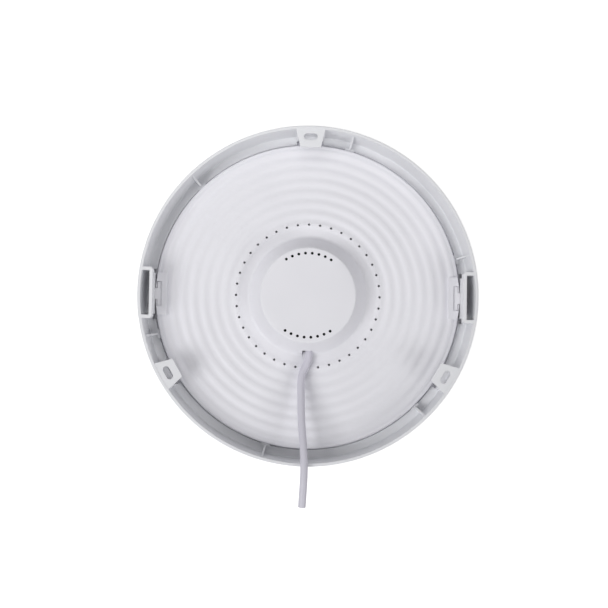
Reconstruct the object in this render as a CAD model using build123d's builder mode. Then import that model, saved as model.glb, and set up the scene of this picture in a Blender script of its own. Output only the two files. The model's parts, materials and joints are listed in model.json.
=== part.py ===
"""Round ceiling light: a lamp unit latched into a ring that is screwed to the ceiling.

Millimetres. The origin is the centre of the ceiling plane, +Z points up into the ceiling, and the lamp
hangs below it. The cord leaves towards -Y, and the two latches stand on the X axis.
"""

import os
from math import cos, pi, radians, sin, sqrt

from build123d import *

# Mounting ring
ring_radius = 112.5
ring_height = 31.5
ring_wall = 2.0
wall_draft = 1.2
skirt_wall = 2.4
rim_round = 0.4
front_round = 1.8
ledge_depth = 22.5
ledge_thickness = 2.0
ledge_width = 8.9
channel_round = 1.0

# Screw tabs at the ceiling plane
tab_count = 3
tab_start = 90
tab_recess = 0.3
tab_thickness = 2.4
tab_length = 14.25
tab_root_width = 19.7
tab_end_width = 13.4
tab_corner = 1.0
web_thickness = 1.6
notch_length = 2.4
notch_width = 18.0
slot_length = 9.2
slot_width = 4.4
slot_inset = 7.3

# Pockets behind the latches
pocket_length = 29.4
pocket_wall = 2.0
pocket_side = 2.2
pocket_corner = 2.0
pocket_inner_corner = 0.8
relief_width = 3.4
relief_centre = 15.2
relief_depth = 9.0

# Stiffening ribs with a centring pad on each
rib_count = 6
rib_start = 15
rib_thickness = 1.2
rib_drop = 0.8
pad_width = 6.2
pad_depth = 20.0
pad_root = 1.0

# Clearances
edge_gap = 1.1
seat_gap = 0.3
slide_gap = 0.3
screw_gap = 0.1
diffuser_gap = 0.4

# Back cover: corrugated pan with a driver dome
crest_depth = 16.5
wave_height = 0.7
wave_count = 8
valley_flat = 5.16
edge_width = 4.0
edge_run = 2.2
edge_drop = 0.5
edge_round = 1.3
pan_wall = 1.8
dome_depth = 2.0
dome_top_radius = 31.5
dome_base_radius = 39.6
dome_wall = 2.0
dome_top_round = 1.5
dome_base_round = 2.5
flange_thickness = 1.8
pan_vent_count = 40
pan_vent_diameter = 1.65
vent_sides = 8
dome_vent_count = 8
dome_vent_pitch = 9.2
dome_vent_inset = 3.64
dome_vent_diameter = 2.0
dome_vent_middles = (90, 270)

# Latches
latch_travel = 2.2
latch_flat = 0.2
bolt_thickness = 1.8
bolt_sink = 1.4
bolt_width = 15.8
bolt_depth = 2.8
bolt_setback = 1.3
ear_length = 1.9
ear_depth = 1.6
stem_width = 7.5
nose_bevel = 0.7
nose_setback = 0.2
guide_side = 6.0
guide_lip = 0.8
guide_end = 1.0
guide_curve = 54.0
guide_slit = 0.2
spring_thickness = 0.3

# Light source and diffuser
diffuser_wall = 2.0
diffuser_proud = 2.5
diffuser_round = 4.0
board_margin = 5.0
board_thickness = 1.2
board_standoff = 3.0
board_hole = 10.0
board_screw_count = 6
board_screw_inset = 9.5
chip_rings = ((0.205, 8), (0.41, 14), (0.615, 20), (0.81, 26))
chip_length = 3.5
chip_width = 2.8
chip_height = 0.8
connector_length = 15.0
connector_width = 8.0
connector_height = 3.0
connector_round = 0.8

# Screws
screw_diameter = 2.0
screw_head_diameter = 4.6
screw_head_height = 1.7
screw_bite = 3.6
screw_slot_width = 0.6
screw_slot_depth = 0.7
boss_diameter = 6.0

# Driver
driver_margin = 2.9
driver_thickness = 1.6
driver_drop = 0.6
driver_boss_share = 0.7
driver_boss_angles = (0, 150, 210)
driver_screw_bite = 7.0
insulator_overhang = 2.5
insulator_thickness = 0.6
insulator_hole = 8.0
lead_diameter = 1.6
lead_spacing = 3.0

# Cord
cord_diameter = 5.0
cord_notch_width = 6.8
cord_notch_offset = 1.0
cord_notch_gap = 0.15
cord_notch_corner = 0.8
cord_notch_sink = 0.2
cord_exit_depth = 14.6
cord_exit_x = 1.2
cord_lead = 10.15
cord_run_share = 0.45
core_diameter = 1.8
core_spacing = 2.4
clamp_width = 18.0
clamp_depth = 7.0
clamp_inset = 10.5
clamp_cap_height = 3.6
clamp_screw_spacing = 12.0
clamp_screw_bite = 2.6
clamp_round = 1.0
sheath_tail = 2.0
terminal_share = 0.435

# Heights and radii that follow from the sizes above
ring_bore = ring_radius - ring_wall
channel_radius = ring_bore - wall_draft
skirt_bore = ring_radius - skirt_wall
ledge_bore = ring_radius - ledge_width
ledge_top = -ledge_depth
ledge_bottom = ledge_top - ledge_thickness
tab_top = -tab_recess
tab_bottom = tab_top - tab_thickness
tab_end = ring_radius - tab_length
tab_root = ring_bore + ring_wall / 4
slot_radius = ring_radius - slot_inset
notch_end = ledge_bore + notch_length

pan_radius = ledge_bore - edge_gap
last_crest = pan_radius - edge_width
wave_pitch = (last_crest - dome_base_radius - valley_flat) / (wave_count - 0.5)
first_crest = last_crest - (wave_count - 1) * wave_pitch
crest_top = -crest_depth
valley = crest_top - wave_height
wave_middle = crest_top - wave_height / 2
pan_inside = valley - pan_wall
edge_top = crest_top - edge_drop
flange_top = ledge_bottom - seat_gap
flange_bottom = flange_top - flange_thickness
diffuser_radius = skirt_bore - diffuser_gap
diffuser_front = -ring_height - diffuser_proud

pan_flat = pan_radius - latch_flat
pocket_face = pan_flat + seat_gap
pocket_back = pocket_face + pocket_wall
pocket_middle = pocket_face + pocket_wall / 2
pocket_half = pocket_length / 2 + pocket_side
bolt_bottom = crest_top - bolt_sink
bolt_top = bolt_bottom + bolt_thickness

board_radius = pan_radius - board_margin
board_screw_radius = board_radius - board_screw_inset
board_top = pan_inside - board_standoff
board_bottom = board_top - board_thickness
driver_bottom = pan_inside - driver_drop
driver_top = driver_bottom + driver_thickness
cord_axis = -cord_exit_depth
cord_notch_top = cord_axis + cord_diameter / 2 + cord_notch_gap
cord_notch_bottom = valley - cord_notch_sink


def radial_plane(angle):
    """Upright plane through the lamp's axis, with its local x pointing outwards at the angle."""
    turn = radians(angle)
    return Plane(origin=(0, 0, 0), x_dir=(cos(turn), sin(turn), 0), z_dir=(sin(turn), -cos(turn), 0))


def side_plane(side, height=0):
    """Level plane whose local x points outwards on the right (1) or on the left (-1)."""
    return Plane(origin=(0, 0, height), x_dir=(side, 0, 0), z_dir=(0, 0, 1))


def finish(builder, name):
    """Labels a finished piece and writes its file."""
    builder.part.label = name
    export_step(builder.part, f"parts/{name}.step")


def dome_radius_at(height):
    """Outer radius of the dome's flank at a height."""
    share = (-dome_depth - height) / (-dome_depth - valley)
    return dome_top_radius + share * (dome_base_radius - dome_top_radius)


dome_slant = sqrt((dome_base_radius - dome_top_radius) ** 2 + (valley + dome_depth) ** 2)
dome_inset = dome_wall * dome_slant / (-dome_depth - valley)
driver_radius = dome_radius_at(driver_top) - dome_inset - driver_margin
driver_boss_radius = driver_boss_share * driver_radius
clamp_centre = driver_radius - clamp_inset


def on_driver(across, along):
    """Place on the driver board, in shares of its radius."""
    return (across * driver_radius, along * driver_radius)


os.makedirs("parts", exist_ok=True)

# Mounting ring: wall, channel ledge and front skirt in one turned profile
tab_outline = (
    (tab_end, -tab_end_width / 2),
    (tab_root, -tab_root_width / 2),
    (tab_root, tab_root_width / 2),
    (tab_end, tab_end_width / 2),
)
tab_taper = (tab_root_width - tab_end_width) / 2 / (tab_root - tab_end)
web_end_half = tab_end_width / 2 + tab_taper * (notch_end - tab_end)
web_outline = (
    (notch_end, web_end_half),
    (tab_root, tab_root_width / 2),
    (tab_root, tab_root_width / 2 - web_thickness),
    (notch_end, web_end_half - web_thickness),
)

with BuildPart() as mounting_ring:
    with BuildSketch(Plane.XZ) as ring_profile:
        with BuildLine():
            Polyline(
                (ring_radius, 0),
                (ring_bore, 0),
                (channel_radius, ledge_top),
                (ledge_bore, ledge_top),
                (ledge_bore, ledge_bottom),
                (skirt_bore, ledge_bottom),
                (skirt_bore, -ring_height),
                (ring_radius, -ring_height),
                close=True,
            )
        make_face()
        fillet(ring_profile.vertices().sort_by_distance((channel_radius, ledge_top))[0], channel_round)
        fillet(ring_profile.vertices().sort_by_distance((ring_radius, -ring_height))[0], front_round)
        fillet(ring_profile.vertices().sort_by_distance((ring_radius, 0))[0], rim_round)
    revolve(axis=Axis.Z)
    # Relief in the ledge under each tab
    with BuildSketch(Plane.XY.offset(ledge_bottom)):
        with PolarLocations(ledge_bore, tab_count, start_angle=tab_start):
            Rectangle(2 * notch_length, notch_width)
    extrude(amount=ledge_thickness, mode=Mode.SUBTRACT)
    # Tabs with their side webs and slots
    with BuildSketch(Plane.XY.offset(tab_top)) as tab_plan:
        with PolarLocations(0, tab_count, start_angle=tab_start):
            Polygon(*tab_outline, align=None)
        tab_ends = tab_plan.vertices().filter_by(lambda v: Vector(v).length < (tab_end + slot_radius) / 2)
        fillet(tab_ends, tab_corner)
    extrude(amount=-tab_thickness)
    with BuildSketch(Plane.XY.offset(ledge_top - ledge_thickness / 2)):
        with PolarLocations(0, tab_count, start_angle=tab_start):
            Polygon(*web_outline, align=None)
            Polygon(*[(along, -across) for along, across in web_outline], align=None)
    extrude(amount=tab_bottom - ledge_top + ledge_thickness / 2)
    with BuildSketch(Plane.XY.offset(tab_top)):
        with PolarLocations(slot_radius, tab_count, start_angle=tab_start):
            SlotOverall(slot_length, slot_width, rotation=90)
    extrude(amount=-tab_thickness, mode=Mode.SUBTRACT)
    # Pocket walls, with a window for the latch
    for side in (1, -1):
        with BuildSketch(side_plane(side, ledge_bottom)) as pocket_plan:
            with BuildLine():
                Polyline(
                    (tab_root, -pocket_half),
                    (pocket_face, -pocket_half),
                    (pocket_face, pocket_half),
                    (tab_root, pocket_half),
                    (tab_root, pocket_length / 2),
                    (pocket_back, pocket_length / 2),
                    (pocket_back, -pocket_length / 2),
                    (tab_root, -pocket_length / 2),
                    close=True,
                )
            make_face()
            corners = pocket_plan.vertices()
            outer = [corners.sort_by_distance((pocket_face, s * pocket_half))[0] for s in (1, -1)]
            inner = [corners.sort_by_distance((pocket_back, s * pocket_length / 2))[0] for s in (1, -1)]
            fillet(outer, pocket_corner)
            fillet(inner, pocket_inner_corner)
        extrude(amount=-ledge_bottom)
        with BuildSketch(side_plane(side, bolt_bottom - slide_gap)):
            with Locations((pocket_middle, 0)):
                Rectangle(2 * pocket_wall, stem_width + 2 * slide_gap)
        extrude(amount=bolt_thickness + 2 * slide_gap, mode=Mode.SUBTRACT)
        # Reliefs that free the middle of the wall
        with BuildSketch(side_plane(side, ledge_bottom)):
            with Locations((pocket_middle, relief_centre), (pocket_middle, -relief_centre)):
                Rectangle(pocket_wall, relief_width)
        extrude(amount=-relief_depth - ledge_bottom, mode=Mode.SUBTRACT)
    # Ribs across the channel, each ending in a pad that centres the lamp unit
    rib_planes = [radial_plane(rib_start + 360 / rib_count * i) for i in range(rib_count)]
    with BuildSketch(*rib_planes):
        Polygon(
            (ledge_bore, ledge_top - ledge_thickness / 2),
            (ring_bore, ledge_top - ledge_thickness / 2),
            (ring_bore, -rib_drop),
            (ledge_bore, -pad_depth),
            align=None,
        )
    extrude(amount=rib_thickness / 2, both=True)
    with BuildSketch(*rib_planes):
        Polygon(
            (pan_radius + seat_gap, ledge_bottom),
            (ledge_bore + pad_root, ledge_bottom),
            (ledge_bore + pad_root, -pad_depth),
            (pan_radius + seat_gap, -pad_depth),
            align=None,
        )
    extrude(amount=pad_width / 2, both=True)
finish(mounting_ring, "mounting_ring")

# Back cover: one moulding of corrugated pan, driver dome, skirt and flange
bolt_outer = pan_flat - bolt_setback
bolt_inner = bolt_outer - bolt_depth
spring_end = bolt_inner - latch_travel - spring_thickness
ear_stop = bolt_inner + ear_depth + slide_gap
bolt_stop = bolt_outer + slide_gap
guide_inner = bolt_width / 2 + slide_gap
guide_outer = guide_inner + guide_side
guide_start = spring_end - guide_end
guide_stop = pan_flat - guide_outer**2 / (2 * guide_curve)
guide_floor = bolt_bottom - slide_gap
guide_roof = bolt_top + slide_gap
guide_top = guide_roof + guide_lip

with BuildPart() as back_cover:
    with BuildSketch(Plane.XZ) as cover_profile:
        with BuildLine():
            Polyline((0, -dome_depth), (dome_top_radius, -dome_depth), (dome_base_radius, valley))
            Line((dome_base_radius, valley), (first_crest - wave_pitch / 2, valley))
            TangentArc(
                (first_crest - wave_pitch / 2, valley),
                (first_crest - wave_pitch / 4, wave_middle),
                tangent=(1, 0),
            )
            for i in range(wave_count - 1):
                crest = first_crest + i * wave_pitch
                ThreePointArc(
                    (crest - wave_pitch / 4, wave_middle),
                    (crest, crest_top),
                    (crest + wave_pitch / 4, wave_middle),
                )
                ThreePointArc(
                    (crest + wave_pitch / 4, wave_middle),
                    (crest + wave_pitch / 2, valley),
                    (crest + wave_pitch * 3 / 4, wave_middle),
                )
            TangentArc(
                (last_crest, crest_top),
                (last_crest - wave_pitch / 4, wave_middle),
                tangent=(-1, 0),
            )
            TangentArc(
                (last_crest, crest_top),
                (last_crest + edge_run / 2, crest_top - edge_drop / 2),
                tangent=(1, 0),
            )
            TangentArc(
                (last_crest + edge_run, edge_top),
                (last_crest + edge_run / 2, crest_top - edge_drop / 2),
                tangent=(-1, 0),
            )
            Line((last_crest + edge_run, edge_top), (pan_radius - edge_round, edge_top))
            TangentArc(
                (pan_radius - edge_round, edge_top),
                (pan_radius, edge_top - edge_round),
                tangent=(1, 0),
            )
            Polyline(
                (pan_radius, edge_top - edge_round),
                (pan_radius, flange_top),
                (diffuser_radius, flange_top),
                (diffuser_radius, flange_bottom),
                (pan_radius - pan_wall, flange_bottom),
                (pan_radius - pan_wall, pan_inside),
                (dome_radius_at(pan_inside) - dome_inset, pan_inside),
                (dome_radius_at(-dome_depth - dome_wall) - dome_inset, -dome_depth - dome_wall),
                (0, -dome_depth - dome_wall),
                (0, -dome_depth),
            )
        make_face()
        fillet(cover_profile.vertices().sort_by_distance((dome_top_radius, -dome_depth))[0], dome_top_round)
        fillet(cover_profile.vertices().sort_by_distance((dome_base_radius, valley))[0], dome_base_round)
    revolve(axis=Axis.Z)
    # Vents: a ring on the first crest and two arcs on the dome
    with BuildSketch(Plane.XY.offset(pan_inside)):
        with PolarLocations(first_crest, pan_vent_count):
            RegularPolygon(pan_vent_diameter / 2, vent_sides)
    extrude(amount=crest_top - pan_inside, mode=Mode.SUBTRACT)
    vent_span = (dome_vent_count - 1) * dome_vent_pitch
    dome_vent_radius = dome_top_radius - dome_vent_inset
    with BuildSketch(Plane.XY.offset(-dome_depth)):
        for middle in dome_vent_middles:
            with PolarLocations(
                dome_vent_radius, dome_vent_count, middle - vent_span / 2, vent_span, endpoint=True
            ):
                RegularPolygon(dome_vent_diameter / 2, vent_sides)
    extrude(amount=-dome_wall, mode=Mode.SUBTRACT)
    # Cord notch at the foot of the dome's flank
    with BuildSketch(Plane.XZ) as cord_notch:
        with Locations((cord_exit_x - cord_notch_offset, (cord_notch_top + cord_notch_bottom) / 2)):
            Rectangle(cord_notch_width, cord_notch_top - cord_notch_bottom)
        fillet(cord_notch.vertices().group_by(Axis.Y)[-1], cord_notch_corner)
    extrude(amount=dome_base_radius + dome_base_round, mode=Mode.SUBTRACT)
    # Flats on the edge, and a low guide for each latch
    for side in (1, -1):
        with BuildSketch(side_plane(side, flange_top)):
            with Locations((pan_flat + latch_flat, 0)):
                Rectangle(2 * latch_flat, 2 * pocket_half)
        extrude(amount=crest_top - flange_top, mode=Mode.SUBTRACT)
        with BuildSketch(side_plane(side, guide_floor)):
            with BuildLine():
                Polyline(
                    (guide_stop, -guide_outer),
                    (guide_start, -guide_outer),
                    (guide_start, guide_outer),
                    (guide_stop, guide_outer),
                )
                ThreePointArc((guide_stop, guide_outer), (pan_flat, 0), (guide_stop, -guide_outer))
            make_face()
        extrude(amount=guide_top - guide_floor)
        with BuildSketch(side_plane(side, guide_floor)):
            with Locations(((spring_end + ear_stop) / 2, 0)):
                Rectangle(ear_stop - spring_end, 2 * (guide_inner + ear_length))
            with Locations(((spring_end + bolt_stop) / 2, 0)):
                Rectangle(bolt_stop - spring_end, 2 * guide_inner)
            with Locations(((bolt_inner + pan_radius) / 2, 0)):
                Rectangle(pan_radius - bolt_inner, stem_width + 2 * slide_gap)
        extrude(amount=guide_roof - guide_floor, mode=Mode.SUBTRACT)
        with BuildSketch(side_plane(side, crest_top)):
            with Locations(((bolt_inner - guide_slit + pan_radius) / 2, 0)):
                Rectangle(pan_radius - bolt_inner + guide_slit, 2 * guide_inner)
        extrude(amount=guide_top - crest_top, mode=Mode.SUBTRACT)
    # Posts for the light board
    with BuildSketch(Plane.XY.offset(board_top)):
        with PolarLocations(board_screw_radius, board_screw_count):
            Circle(boss_diameter / 2)
    extrude(amount=board_standoff + pan_wall / 2)
    with BuildSketch(Plane.XY.offset(board_top)):
        with PolarLocations(board_screw_radius, board_screw_count):
            Circle(screw_diameter / 2 + screw_gap)
    extrude(amount=screw_bite, mode=Mode.SUBTRACT)
    # Posts for the driver board
    with BuildSketch(Plane.XY.offset(driver_top)):
        for angle in driver_boss_angles:
            with PolarLocations(driver_boss_radius, 1, start_angle=angle):
                Circle(boss_diameter / 2)
    extrude(amount=-dome_depth - dome_wall / 2 - driver_top)
    with BuildSketch(Plane.XY.offset(driver_top)):
        for angle in driver_boss_angles:
            with PolarLocations(driver_boss_radius, 1, start_angle=angle):
                Circle(screw_diameter / 2 + screw_gap)
    extrude(amount=driver_screw_bite, mode=Mode.SUBTRACT)
finish(back_cover, "back_cover")

# Latches: T-shaped bolts with bevelled noses, each pushed out by a bowed leaf spring
nose_tip = pocket_back - nose_setback
spring_half = bolt_width / 2
for side, hand in ((1, "right"), (-1, "left")):
    with BuildPart() as latch_bolt:
        with BuildSketch(side_plane(side, bolt_bottom)):
            with Locations(((bolt_inner + bolt_outer) / 2, 0)):
                Rectangle(bolt_depth, bolt_width)
            with Locations((bolt_inner + ear_depth / 2, 0)):
                Rectangle(ear_depth, bolt_width + 2 * ear_length)
            with Locations(((bolt_outer + nose_tip) / 2, 0)):
                Rectangle(nose_tip - bolt_outer, stem_width)
        extrude(amount=bolt_thickness)
        tip_edges = latch_bolt.faces().sort_by(Axis((0, 0, 0), (side, 0, 0)))[-1].edges().filter_by(Axis.Y)
        chamfer(tip_edges, nose_bevel)
    finish(latch_bolt, f"latch_bolt_{hand}")

    with BuildPart() as latch_spring:
        with BuildSketch(side_plane(side, bolt_bottom)):
            with BuildLine():
                ThreePointArc(
                    (spring_end, -spring_half),
                    (bolt_inner - spring_thickness, 0),
                    (spring_end, spring_half),
                )
                Line((spring_end, spring_half), (spring_end + spring_thickness, spring_half))
                ThreePointArc(
                    (spring_end + spring_thickness, spring_half),
                    (bolt_inner, 0),
                    (spring_end + spring_thickness, -spring_half),
                )
                Line((spring_end + spring_thickness, -spring_half), (spring_end, -spring_half))
            make_face()
        extrude(amount=bolt_thickness)
    finish(latch_spring, f"latch_spring_{hand}")

# Opal diffuser: a shallow cup whose rim seats under the flange
with BuildPart() as diffuser:
    with BuildSketch(Plane.XZ) as cup_profile:
        with BuildLine():
            Polyline(
                (0, diffuser_front),
                (diffuser_radius, diffuser_front),
                (diffuser_radius, flange_bottom),
                (diffuser_radius - diffuser_wall, flange_bottom),
                (diffuser_radius - diffuser_wall, diffuser_front + diffuser_wall),
                (0, diffuser_front + diffuser_wall),
                close=True,
            )
        make_face()
        outside = (diffuser_radius, diffuser_front)
        inside = (diffuser_radius - diffuser_wall, diffuser_front + diffuser_wall)
        fillet(cup_profile.vertices().sort_by_distance(outside)[0], diffuser_round)
        fillet(cup_profile.vertices().sort_by_distance(inside)[0], diffuser_round - diffuser_wall)
    revolve(axis=Axis.Z)
finish(diffuser, "diffuser")

# Light board on the cover's posts, its chips and its screws
with BuildPart() as light_board:
    with BuildSketch(Plane.XY.offset(board_bottom)):
        Circle(board_radius)
        Circle(board_hole / 2, mode=Mode.SUBTRACT)
        with PolarLocations(board_screw_radius, board_screw_count):
            Circle(screw_diameter / 2 + screw_gap, mode=Mode.SUBTRACT)
    extrude(amount=board_thickness)
finish(light_board, "light_board")

with BuildPart() as light_chips:
    with BuildSketch(Plane.XY.offset(board_bottom - chip_height)):
        for share, count in chip_rings:
            with PolarLocations(share * board_radius, count, start_angle=180 / count):
                Rectangle(chip_length, chip_width)
    extrude(amount=chip_height)
finish(light_chips, "light_chips")


def screw_set(places, seat, bite, up=True):
    """Slotted pan-head screws whose heads seat at a height, with the shanks pointing up or down."""
    towards = 1 if up else -1
    with BuildPart() as screws:
        with BuildSketch(Plane.XY.offset(seat)):
            with Locations(*places):
                Circle(screw_head_diameter / 2)
        extrude(amount=-towards * screw_head_height)
        with BuildSketch(Plane.XY.offset(seat)):
            with Locations(*places):
                Circle(screw_diameter / 2)
        extrude(amount=towards * bite)
        with BuildSketch(Plane.XY.offset(seat - towards * screw_head_height)):
            with Locations(*places):
                Rectangle(screw_head_diameter, screw_slot_width)
        extrude(amount=towards * screw_slot_depth, mode=Mode.SUBTRACT)
    return screws


board_screw_turns = [radians(360 / board_screw_count * i) for i in range(board_screw_count)]
board_screw_places = [(board_screw_radius * cos(t), board_screw_radius * sin(t)) for t in board_screw_turns]
board_screw_length = board_thickness + screw_bite - screw_gap
finish(screw_set(board_screw_places, board_bottom, board_screw_length), "light_board_screws")

with BuildPart() as light_connector:
    with BuildSketch(Plane.XY.offset(board_bottom)):
        RectangleRounded(connector_length, connector_width, connector_round)
    extrude(amount=-connector_height)
finish(light_connector, "light_connector")

with BuildPart() as light_leads:
    with BuildSketch(Plane.XY.offset(board_bottom)):
        with GridLocations(lead_spacing, 0, 2, 1):
            Circle(lead_diameter / 2)
    extrude(amount=driver_bottom - board_bottom)
finish(light_leads, "light_leads")

with BuildPart() as insulator:
    with BuildSketch(Plane.XY.offset(board_top)):
        Circle(driver_radius + insulator_overhang)
        Circle(insulator_hole / 2, mode=Mode.SUBTRACT)
    extrude(amount=insulator_thickness)
finish(insulator, "insulator")

# Driver board under the dome
driver_turns = [radians(angle) for angle in driver_boss_angles]
driver_screw_places = [(driver_boss_radius * cos(t), driver_boss_radius * sin(t)) for t in driver_turns]
with BuildPart() as driver_board:
    with BuildSketch(Plane.XY.offset(driver_bottom)):
        Circle(driver_radius)
        with Locations(*driver_screw_places):
            Circle(screw_diameter / 2 + screw_gap, mode=Mode.SUBTRACT)
    extrude(amount=driver_thickness)
finish(driver_board, "driver_board")
driver_screw_length = driver_thickness + driver_screw_bite - screw_gap
finish(screw_set(driver_screw_places, driver_bottom, driver_screw_length), "driver_screws")

# Driver components, standing on the board
transformer_place = on_driver(-0.2, 0.23)
transformer_core = (14.0, 9.0, 9.5)
transformer_coil = (9.0, 12.0, 7.0)
transformer_foot = 1.5
with BuildPart() as transformer:
    with BuildSketch(Plane.XY.offset(driver_top)):
        with Locations(transformer_place):
            Rectangle(transformer_coil[0], transformer_coil[1])
    extrude(amount=transformer_foot)
    with BuildSketch(Plane.XY.offset(driver_top + transformer_foot)):
        with Locations(transformer_place):
            Rectangle(transformer_core[0], transformer_core[1])
    extrude(amount=transformer_core[2] - transformer_foot)
    with BuildSketch(Plane.XY.offset(driver_top + transformer_foot)):
        with Locations(transformer_place):
            RectangleRounded(transformer_coil[0], transformer_coil[1], transformer_foot)
    extrude(amount=transformer_coil[2])
finish(transformer, "transformer")


def standing_capacitor(place, diameter, height):
    """Electrolytic can with a crimp groove near its base and a bevelled top edge."""
    groove = diameter / 20
    with BuildPart() as can:
        with BuildSketch(Plane.XY.offset(driver_top)):
            with Locations(place):
                Circle(diameter / 2)
        extrude(amount=height)
        chamfer(can.edges().group_by(Axis.Z)[-1], groove)
        with BuildSketch(Plane.XY.offset(driver_top + 2 * groove)):
            with Locations(place):
                Circle(diameter / 2)
                Circle(diameter / 2 - groove, mode=Mode.SUBTRACT)
        extrude(amount=2 * groove, mode=Mode.SUBTRACT)
    return can


input_can = (10.0, 12.0)
output_can = (8.0, 11.0)
finish(standing_capacitor(on_driver(0.305, 0.35), *input_can), "input_capacitor")
finish(standing_capacitor(on_driver(-0.603, 0), *output_can), "output_capacitor")

film_capacitor_place = on_driver(0.42, -0.19)
film_capacitor_size = (5.0, 10.0, 9.0)
film_side_round = 0.8
film_top_round = 0.6
with BuildPart() as film_capacitor:
    with BuildSketch(Plane.XY.offset(driver_top)):
        with Locations(film_capacitor_place):
            RectangleRounded(film_capacitor_size[0], film_capacitor_size[1], film_side_round)
    extrude(amount=film_capacitor_size[2])
    fillet(film_capacitor.edges().group_by(Axis.Z)[-1], film_top_round)
finish(film_capacitor, "film_capacitor")

choke_place = on_driver(0.1, 0.667)
choke_diameter = 8.0
choke_height = 9.0
choke_flange = 1.2
choke_waist = 5.6
with BuildPart() as choke:
    with BuildSketch(Plane.XY.offset(driver_top)):
        with Locations(choke_place):
            Circle(choke_waist / 2)
    extrude(amount=choke_height)
    for height in (driver_top, driver_top + choke_height - choke_flange):
        with BuildSketch(Plane.XY.offset(height)):
            with Locations(choke_place):
                Circle(choke_diameter / 2)
        extrude(amount=choke_flange)
finish(choke, "choke")


def flat_package(place, size, pin_count, pin_reach, pin_width):
    """Moulded chip package with a row of flat pins along each long side."""
    length, width, height = size
    pitch = length / pin_count
    pin_height = height / 4
    with BuildPart() as package:
        with BuildSketch(Plane.XY.offset(driver_top)):
            with Locations(place):
                Rectangle(length, width)
        extrude(amount=height)
        with BuildSketch(Plane.XY.offset(driver_top)):
            with Locations(place):
                with GridLocations(pitch, 0, pin_count, 1):
                    Rectangle(pin_width, width + 2 * pin_reach)
        extrude(amount=pin_height)
    return package


bridge_size = (6.4, 5.2, 2.4)
bridge = flat_package(on_driver(0.116, -0.075), bridge_size, pin_count=2, pin_reach=1.2, pin_width=1.0)
finish(bridge, "bridge_rectifier")
chip_size = (5.0, 4.0, 1.5)
chip = flat_package(on_driver(-0.26, -0.145), chip_size, pin_count=4, pin_reach=1.0, pin_width=0.4)
finish(chip, "control_chip")

fuse_place = on_driver(0.696, 0.26)
fuse_diameter = 3.0
fuse_length = 8.0
fuse_lead = 0.8
with BuildPart() as fuse:
    with BuildSketch(Plane.XZ.offset(-fuse_place[1] + fuse_length / 2)):
        with Locations((fuse_place[0], driver_top + fuse_diameter / 2)):
            Circle(fuse_diameter / 2)
    extrude(amount=-fuse_length)
    chamfer(fuse.edges().filter_by(GeomType.CIRCLE), fuse_diameter / 6)
    with BuildSketch(Plane.XY.offset(driver_top)):
        with Locations(fuse_place):
            with GridLocations(0, fuse_length + 2 * fuse_lead, 1, 2):
                Circle(fuse_lead / 2)
    extrude(amount=fuse_diameter / 2)
    with BuildSketch(Plane.XZ.offset(-fuse_place[1] + fuse_length / 2 + fuse_lead)):
        with Locations((fuse_place[0], driver_top + fuse_diameter / 2)):
            Circle(fuse_lead / 2)
    extrude(amount=-fuse_length - 2 * fuse_lead)
finish(fuse, "fuse")

# Supply cord: clamp, inner tail, cores, terminal and the free length outside
sheath_inner_end = -clamp_centre + clamp_depth / 2 + sheath_tail
cord_joint = -(clamp_centre + clamp_depth / 2)
clamp_screw_places = [(cord_exit_x + s * clamp_screw_spacing / 2, -clamp_centre) for s in (1, -1)]
clamp_top = cord_axis + clamp_cap_height
with BuildPart() as clamp_base:
    with BuildSketch(Plane.XY.offset(driver_top)):
        with Locations((cord_exit_x, -clamp_centre)):
            Rectangle(clamp_width, clamp_depth)
    extrude(amount=cord_axis - driver_top)
    with BuildSketch(Plane.XZ):
        with Locations((cord_exit_x, cord_axis)):
            Circle(cord_diameter / 2)
    extrude(amount=clamp_centre + clamp_depth, mode=Mode.SUBTRACT)
    with BuildSketch(Plane.XY.offset(cord_axis)):
        with Locations(*clamp_screw_places):
            Circle(screw_diameter / 2 + screw_gap)
    extrude(amount=-clamp_screw_bite, mode=Mode.SUBTRACT)
finish(clamp_base, "cord_clamp_base")

with BuildPart() as clamp_cap:
    with BuildSketch(Plane.XY.offset(cord_axis)):
        with Locations((cord_exit_x, -clamp_centre)):
            Rectangle(clamp_width, clamp_depth)
    extrude(amount=clamp_cap_height)
    fillet(clamp_cap.edges().filter_by(Axis.Y).group_by(Axis.Z)[-1], clamp_round)
    with BuildSketch(Plane.XZ):
        with Locations((cord_exit_x, cord_axis)):
            Circle(cord_diameter / 2)
    extrude(amount=clamp_centre + clamp_depth, mode=Mode.SUBTRACT)
    with BuildSketch(Plane.XY.offset(cord_axis)):
        with Locations(*clamp_screw_places):
            Circle(screw_diameter / 2 + screw_gap)
    extrude(amount=clamp_cap_height, mode=Mode.SUBTRACT)
finish(clamp_cap, "cord_clamp_cap")
clamp_screw_length = clamp_cap_height + clamp_screw_bite - screw_gap
finish(screw_set(clamp_screw_places, clamp_top, clamp_screw_length, up=False), "cord_clamp_screws")

with BuildPart() as cord_tail:
    with BuildSketch(Plane.XZ.offset(-sheath_inner_end)):
        with Locations((cord_exit_x, cord_axis)):
            Circle(cord_diameter / 2)
    extrude(amount=sheath_inner_end - cord_joint)
finish(cord_tail, "cord_tail")

terminal_size = (9.0, 7.0, 8.0)
terminal_bevel = 1.0
terminal_front = -terminal_share * driver_radius
with BuildPart() as supply_cores:
    with BuildSketch(Plane.XZ.offset(-terminal_front)):
        with Locations((cord_exit_x, cord_axis)):
            with GridLocations(core_spacing, 0, 2, 1):
                Circle(core_diameter / 2)
    extrude(amount=terminal_front - sheath_inner_end)
finish(supply_cores, "supply_cores")

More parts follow.
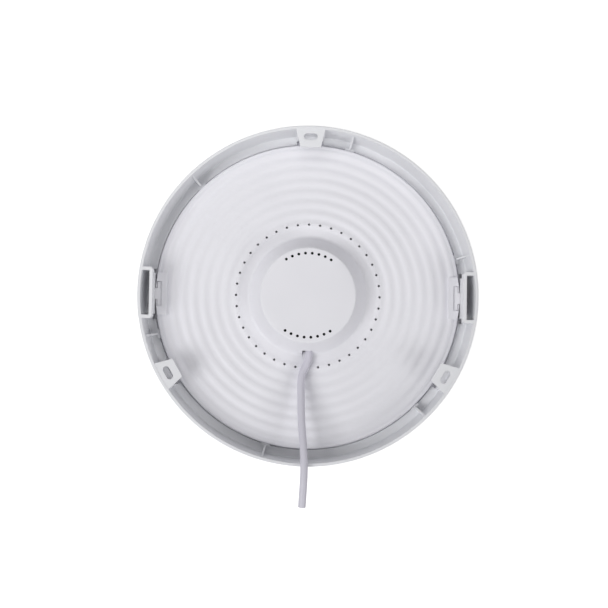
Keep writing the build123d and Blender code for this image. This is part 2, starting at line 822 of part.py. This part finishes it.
with BuildPart() as input_terminal:
    with BuildSketch(Plane.XY.offset(driver_top)):
        with Locations((cord_exit_x, terminal_front + terminal_size[1] / 2)):
            Rectangle(terminal_size[0], terminal_size[1])
    extrude(amount=terminal_size[2])
    chamfer(input_terminal.edges().filter_by(Axis.X).group_by(Axis.Z)[-1], terminal_bevel)
finish(input_terminal, "input_terminal")

cord_route = (
    (cord_exit_x, cord_joint, cord_axis),
    (cord_exit_x, cord_joint - cord_lead, cord_axis),
    (-3.4, -53.0, -12.1),
    (-3.6, -66.5, -9.0),
    (-3.3, -79.5, -5.3),
    (-2.4, -90.5, -2.0),
    (-1.3, -102.5, 1.4),
    (-0.8, -112.5, 3.2),
    (-1.2, -125.5, 3.5),
    (-1.95, -138.3, 2.0),
)


def cord_radii(points):
    """The largest arc that the two runs at each corner of a route leave room for."""
    found = []
    for before, corner, after in zip(points, points[1:], points[2:]):
        run_in = Vector(corner) - Vector(before)
        run_out = Vector(after) - Vector(corner)
        half_turn = radians(run_in.get_angle(run_out) / 2)
        found.append(cord_run_share * min(run_in.length, run_out.length) * cos(half_turn) / sin(half_turn))
    return found


radii = cord_radii(cord_route)
print("cord radii", [round(radius) for radius in radii])
with BuildPart() as supply_cord:
    with BuildLine() as cord_path:
        FilletPolyline(*cord_route, radius=radii)
    with BuildSketch(Plane(origin=cord_path.line @ 0, z_dir=cord_path.line % 0)):
        Circle(cord_diameter / 2)
    sweep()
cord_length = cord_path.wires()[0].length
cord_section = pi * cord_diameter**2 / 4
cord_share = supply_cord.part.volume / (cord_section * cord_length)
print("cord length", round(cord_length, 1), "volume share", cord_share)
finish(supply_cord, "supply_cord")
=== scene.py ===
import json
import math

import bpy
from mathutils import Matrix, Vector


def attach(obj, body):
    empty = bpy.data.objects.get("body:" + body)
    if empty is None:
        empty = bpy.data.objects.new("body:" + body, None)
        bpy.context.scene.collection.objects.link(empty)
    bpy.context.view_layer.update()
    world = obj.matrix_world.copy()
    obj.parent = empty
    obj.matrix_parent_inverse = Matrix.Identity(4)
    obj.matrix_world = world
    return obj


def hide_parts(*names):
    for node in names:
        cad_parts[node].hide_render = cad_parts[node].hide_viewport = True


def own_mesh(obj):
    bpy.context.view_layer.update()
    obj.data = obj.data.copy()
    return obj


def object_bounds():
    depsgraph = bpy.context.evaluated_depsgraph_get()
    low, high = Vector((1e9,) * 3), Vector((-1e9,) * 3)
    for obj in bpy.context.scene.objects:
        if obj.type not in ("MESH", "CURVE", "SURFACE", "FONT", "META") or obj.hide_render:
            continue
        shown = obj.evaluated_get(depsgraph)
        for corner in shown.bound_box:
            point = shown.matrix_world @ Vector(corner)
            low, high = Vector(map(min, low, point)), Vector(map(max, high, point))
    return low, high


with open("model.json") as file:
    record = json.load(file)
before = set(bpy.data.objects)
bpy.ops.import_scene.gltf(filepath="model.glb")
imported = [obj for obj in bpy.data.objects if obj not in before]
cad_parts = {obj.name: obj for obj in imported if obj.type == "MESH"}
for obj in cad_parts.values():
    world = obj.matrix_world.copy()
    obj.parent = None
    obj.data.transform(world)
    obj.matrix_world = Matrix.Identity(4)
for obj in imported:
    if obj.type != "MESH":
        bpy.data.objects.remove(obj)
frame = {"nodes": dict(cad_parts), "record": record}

MM = 0.001
WHITE = (1.0, 1.0, 1.0, 1.0)
nodes = frame["nodes"]
cad_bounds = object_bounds()
scene = bpy.context.scene


# Materials, with the scales of their noise per metre
drift_scale = 22.0
drift_stops = (0.3, 0.7)
grain_scale = 1400.0
grain_strength = 0.25
grain_depth = 0.02 * MM
plastic_specular = 0.4
light_path = 3.0 * MM
gloss_scale = 400.0
gloss_spread = 0.2


def shader(name):
    """New material, with its tree and its principled shader."""
    made = bpy.data.materials.new(name)
    made.use_nodes = True
    tree = made.node_tree
    return made, tree, tree.nodes["Principled BSDF"]


def noise(tree, scale):
    """Noise in the object's own coordinates."""
    coords = tree.nodes.new("ShaderNodeTexCoord")
    made = tree.nodes.new("ShaderNodeTexNoise")
    made.inputs["Scale"].default_value = scale
    tree.links.new(coords.outputs["Object"], made.inputs["Vector"])
    return made.outputs["Fac"]


def moulded(name, colour, roughness, spread=0.012, through=0.0):
    """Moulded plastic or paint: a faint drift of tone, a fine grain, and light let through thin walls."""
    made, tree, bsdf = shader(name)
    ramp = tree.nodes.new("ShaderNodeValToRGB")
    for stop, position, drift in zip(ramp.color_ramp.elements, drift_stops, (-spread, spread)):
        stop.position = position
        stop.color = (*[min(1.0, max(0.0, level + drift)) for level in colour], 1.0)
    tree.links.new(noise(tree, drift_scale), ramp.inputs["Fac"])
    tree.links.new(ramp.outputs["Color"], bsdf.inputs["Base Color"])
    bump = tree.nodes.new("ShaderNodeBump")
    bump.inputs["Strength"].default_value = grain_strength
    bump.inputs["Distance"].default_value = grain_depth
    tree.links.new(noise(tree, grain_scale), bump.inputs["Height"])
    tree.links.new(bump.outputs["Normal"], bsdf.inputs["Normal"])
    bsdf.inputs["Roughness"].default_value = roughness
    bsdf.inputs["Specular IOR Level"].default_value = plastic_specular
    bsdf.inputs["Subsurface Weight"].default_value = through
    bsdf.inputs["Subsurface Radius"].default_value = (1.0, 1.0, 1.0)
    bsdf.inputs["Subsurface Scale"].default_value = light_path
    return made


def metal(name, colour, roughness):
    """Plated or rolled metal with uneven gloss."""
    made, tree, bsdf = shader(name)
    bsdf.inputs["Base Color"].default_value = (*colour, 1.0)
    bsdf.inputs["Metallic"].default_value = 1.0
    gloss = tree.nodes.new("ShaderNodeMapRange")
    gloss.inputs["To Min"].default_value = roughness * (1.0 - gloss_spread)
    gloss.inputs["To Max"].default_value = roughness * (1.0 + gloss_spread)
    tree.links.new(noise(tree, gloss_scale), gloss.inputs["Value"])
    tree.links.new(gloss.outputs["Result"], bsdf.inputs["Roughness"])
    return made


plastics = {
    "ring_plastic": dict(colour=(0.80, 0.805, 0.83), roughness=0.45, through=0.3),
    "cover_plastic": dict(colour=(0.83, 0.825, 0.868), roughness=0.5),
    "latch_plastic": dict(colour=(0.83, 0.825, 0.86), roughness=0.45),
    "opal_plastic": dict(colour=(0.88, 0.88, 0.88), roughness=0.35),
    "cord_sheath": dict(colour=(0.65, 0.635, 0.71), roughness=0.45),
    "board_aluminium": dict(colour=(0.85, 0.85, 0.85), roughness=0.4),
    "chip_yellow": dict(colour=(0.85, 0.62, 0.1), roughness=0.3),
    "white_nylon": dict(colour=(0.82, 0.81, 0.76), roughness=0.45),
    "lead_sheath": dict(colour=(0.6, 0.04, 0.03), roughness=0.4),
    "black_nylon": dict(colour=(0.02, 0.02, 0.02), roughness=0.5, spread=0.004),
    "insulator_sheet": dict(colour=(0.8, 0.78, 0.72), roughness=0.6),
    # circuit_board: a dark green board, set darker still so the vents above it render dark; partly its own
    # colour, partly painted shade
    "circuit_board": dict(colour=(0.015, 0.06, 0.03), roughness=0.35, spread=0.006),
    "ferrite": dict(colour=(0.06, 0.06, 0.065), roughness=0.55),
    "can_aluminium": dict(colour=(0.05, 0.055, 0.08), roughness=0.35),
    "film_yellow": dict(colour=(0.65, 0.45, 0.05), roughness=0.35),
    "black_epoxy": dict(colour=(0.02, 0.02, 0.02), roughness=0.45),
    "fuse_body": dict(colour=(0.15, 0.35, 0.3), roughness=0.35),
    "core_sheath": dict(colour=(0.16, 0.06, 0.03), roughness=0.4),
    "terminal_green": dict(colour=(0.04, 0.25, 0.07), roughness=0.4),
}
metals = {
    "spring_steel": dict(colour=(0.45, 0.45, 0.47), roughness=0.35),
    "screw_steel": dict(colour=(0.6, 0.6, 0.62), roughness=0.3),
    "dark_steel": dict(colour=(0.04, 0.04, 0.045), roughness=0.45),
}
finishes = {name: moulded(name, **look) for name, look in plastics.items()}
finishes.update({name: metal(name, **look) for name, look in metals.items()})


# Shading of the solids
smooth_limit = math.radians(34.0)
match_steps_per_metre = 1e6
shortest_sum = 1e-9


def soften(mesh):
    """Smooth shading that runs across faces meeting at less than the smooth limit."""
    mesh.shade_smooth()
    least = math.cos(smooth_limit)
    keys = [tuple(round(c * match_steps_per_metre) for c in vertex.co) for vertex in mesh.vertices]
    normals = [face.normal.copy() for face in mesh.polygons]
    around = {}
    for face in mesh.polygons:
        corners = [mesh.vertices[i].co for i in face.vertices]
        count = len(corners)
        for k, i in enumerate(face.vertices):
            before = corners[k - 1] - corners[k]
            after = corners[(k + 1) % count] - corners[k]
            around.setdefault(keys[i], []).append((face.index, before.angle(after, 0.0)))
    made = []
    for face in mesh.polygons:
        own = normals[face.index]
        for i in face.vertices:
            total = Vector()
            for other, angle in around[keys[i]]:
                if normals[other].dot(own) > least:
                    total += normals[other] * angle
            made.append(total.normalized() if total.length > shortest_sum else own)
    mesh.normals_split_custom_set(made)


slots = {row["node"]: row["material_slot"] for row in frame["record"]["subparts"]}
for name, obj in nodes.items():
    obj.data.materials.clear()
    obj.data.materials.append(finishes[slots[name]])
    soften(obj.data)

# Leaf springs, each given a mesh of its own
for hand, side in (("right", 1), ("left", -1)):
    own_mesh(nodes[f"latch_spring_{hand}"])

# Supply cord, with its route in millimetres
cord_diameter = 5.0 * MM
cord_route = (
    (1.2, -27.85, -14.6),
    (1.5, -38.0, -14.6),
    (0.5, -45.0, -13.7),
    (-4.0, -53.0, -12.2),
    (-3.6, -66.5, -9.0),
    (-3.3, -79.5, -5.3),
    (-2.4, -90.5, -2.0),
    (-1.3, -102.5, 1.4),
    (-0.8, -112.5, 3.2),
    (-1.2, -125.5, 3.5),
    (-1.95, -138.3, 2.0),
)
curve = bpy.data.curves.new("supply_cord_line", "CURVE")
curve.dimensions = "3D"
curve.resolution_u = 12
curve.bevel_depth = cord_diameter / 2
curve.bevel_resolution = 8
curve.use_fill_caps = True
line = curve.splines.new("NURBS")
line.points.add(len(cord_route) - 1)
for point, place in zip(line.points, cord_route):
    point.co = (*[c * MM for c in place], 1.0)
line.order_u = 3
line.use_endpoint_u = True
curve.materials.append(finishes["cord_sheath"])
cord = bpy.data.objects.new("supply_cord_visual", curve)
scene.collection.objects.link(cord)
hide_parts("supply_cord")
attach(cord, "housing")


# Floor, white where it is seen and pale grey as the light meets it
floor_tone = 0.65
floor_glow = 0.71
floor_roughness = 0.9
floor_reach = 1.5
floor_gap = 0.2 * MM


def seen_rays(tree):
    """One for a ray that the camera sees, straight, mirrored or through glass, and zero for all others."""
    rays = tree.nodes.new("ShaderNodeLightPath")
    seen = rays.outputs["Is Camera Ray"]
    for kind in ("Is Glossy Ray", "Is Transmission Ray"):
        either = tree.nodes.new("ShaderNodeMath")
        either.operation = "MAXIMUM"
        tree.links.new(seen, either.inputs[0])
        tree.links.new(rays.outputs[kind], either.inputs[1])
        seen = either.outputs["Value"]
    return seen


floor_made, floor_tree, floor_bsdf = shader("floor_white")
floor_bsdf.inputs["Base Color"].default_value = (floor_tone, floor_tone, floor_tone, 1.0)
floor_bsdf.inputs["Roughness"].default_value = floor_roughness
floor_bsdf.inputs["Specular IOR Level"].default_value = 0.0
floor_bsdf.inputs["Emission Color"].default_value = WHITE
glow = floor_tree.nodes.new("ShaderNodeMath")
glow.operation = "MULTIPLY"
glow.inputs[1].default_value = floor_glow
floor_tree.links.new(seen_rays(floor_tree), glow.inputs[0])
floor_tree.links.new(glow.outputs["Value"], floor_bsdf.inputs["Emission Strength"])
floor_level = cad_bounds[0].z - floor_gap
floor_signs = ((-1, -1), (1, -1), (1, 1), (-1, 1))
floor_corners = [(x * floor_reach, y * floor_reach, floor_level) for x, y in floor_signs]
floor_mesh = bpy.data.meshes.new("floor")
floor_mesh.from_pydata(floor_corners, [], [range(len(floor_corners))])
floor_mesh.materials.append(floor_made)
floor = bpy.data.objects.new("floor", floor_mesh)
scene.collection.objects.link(floor)

# World, white where it is seen and dimmer as a light
world_light = 0.265
world = bpy.data.worlds.new("studio")
world.use_nodes = True
scene.world = world
sky = world.node_tree
background = sky.nodes["Background"]
background.inputs["Color"].default_value = WHITE
shown = sky.nodes.new("ShaderNodeMath")
shown.operation = "MULTIPLY_ADD"
shown.inputs[1].default_value = 1.0 - world_light
shown.inputs[2].default_value = world_light
sky.links.new(seen_rays(sky), shown.inputs[0])
sky.links.new(shown.outputs["Value"], background.inputs["Strength"])


# Lamps, two far soft boxes and two small near ones
def area_light(name, azimuth, elevation, distance, size, power):
    """Square soft box aimed at the origin, with its angles in degrees."""
    data = bpy.data.lights.new(name, "AREA")
    data.shape = "SQUARE"
    data.size = size
    data.energy = power
    turn = math.radians(azimuth)
    rise = math.radians(elevation)
    away = Vector((math.cos(turn) * math.cos(rise), math.sin(turn) * math.cos(rise), math.sin(rise)))
    made = bpy.data.objects.new(name, data)
    made.visible_camera = False
    made.location = away * distance
    made.rotation_mode = "QUATERNION"
    made.rotation_quaternion = (-away).to_track_quat("-Z", "Y")
    scene.collection.objects.link(made)


area_light("key", azimuth=208.0, elevation=46.0, distance=3.0, size=1.5, power=44.0)
area_light("fill", azimuth=325.0, elevation=35.0, distance=3.0, size=1.2, power=23.0)
area_light("near_top", azimuth=105.0, elevation=50.7, distance=0.284, size=0.15, power=0.094)
area_light("near_left", azimuth=135.0, elevation=45.0, distance=0.283, size=0.15, power=0.035)

# Camera, aimed at the origin, with its focal length and shift in pixels of a square image
image_pixels = 608.0
focal_pixels = 1094.0
shift_right_pixels = -4.25
shift_up_pixels = -9.07
sensor_width = 36.0
eye = Vector((-10.8, -33.7, 719.13)) * MM
roll = math.radians(-0.95)
lens = bpy.data.cameras.new("camera")
lens.sensor_width = sensor_width
lens.lens = focal_pixels / image_pixels * sensor_width
lens.shift_x = shift_right_pixels / image_pixels
lens.shift_y = shift_up_pixels / image_pixels
lens.clip_start = 0.01
lens.clip_end = 50.0
camera = bpy.data.objects.new("camera", lens)
scene.collection.objects.link(camera)
back = eye.normalized()
right = Vector((0, 1, 0)).cross(back).normalized()
up = back.cross(right)
turned_right = right * math.cos(roll) - up * math.sin(roll)
turned_up = right * math.sin(roll) + up * math.cos(roll)
placed = Matrix((turned_right, turned_up, back)).transposed().to_4x4()
placed.translation = eye
camera.matrix_world = placed
scene.camera = camera

scene.view_settings.view_transform = "Standard"

bpy.context.view_layer.update()
